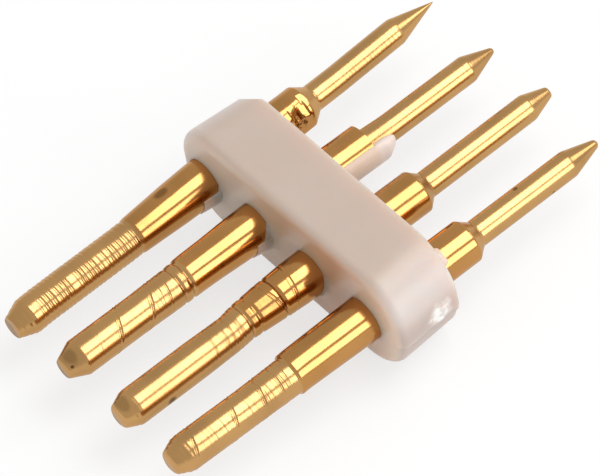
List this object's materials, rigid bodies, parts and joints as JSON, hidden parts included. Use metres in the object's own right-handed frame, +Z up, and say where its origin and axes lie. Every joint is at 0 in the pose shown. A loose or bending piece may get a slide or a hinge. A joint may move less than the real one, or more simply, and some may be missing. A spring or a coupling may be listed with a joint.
{
  "type": "led strip connector",
  "caption": "Needle connector for a light strip: turned brass pins, blunt at one end and pointed at the other, moulded through an off-white plastic bar with rounded ends.",
  "frame": {"origin": "middle of the bar's flat underside", "axes": "+X along the bar, +Y along the pins towards their pointed ends, +Z up from the underside"},
  "size_m": [0.0124, 0.0206, 0.0047],
  "materials": {
    "brass": "polished",
    "nylon": "satin"
  },
  "bodies": {
    "root": {"insulator_bar": "nylon", "pin_1": "brass", "pin_2": "brass", "pin_3": "brass", "pin_4": "brass"}
  },
  "joints": []
}
